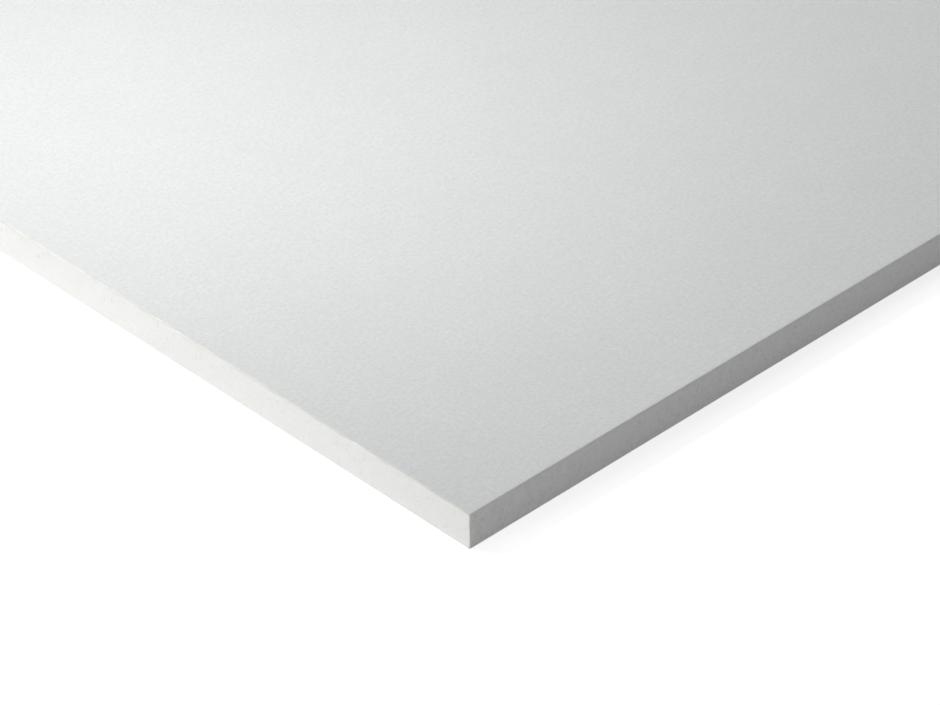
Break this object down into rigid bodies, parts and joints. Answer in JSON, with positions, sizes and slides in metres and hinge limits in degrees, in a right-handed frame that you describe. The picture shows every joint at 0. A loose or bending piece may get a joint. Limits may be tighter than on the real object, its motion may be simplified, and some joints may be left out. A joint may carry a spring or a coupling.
{
  "type": "acoustic ceiling tile",
  "caption": "Flat square lay-in ceiling tile of felted mineral fibre, with a smooth white painted face and plain square edges, that absorbs sound in a suspended grid.",
  "frame": {"origin": "centre of the back, on the floor that the tile lies on", "axes": "+Z out of the painted face, +X and +Y along the tile's square edges"},
  "size_m": [0.595, 0.595, 0.015],
  "materials": {
    "white_board": "matte"
  },
  "bodies": {
    "root": {"ceiling_tile": "white_board"}
  },
  "joints": []
}
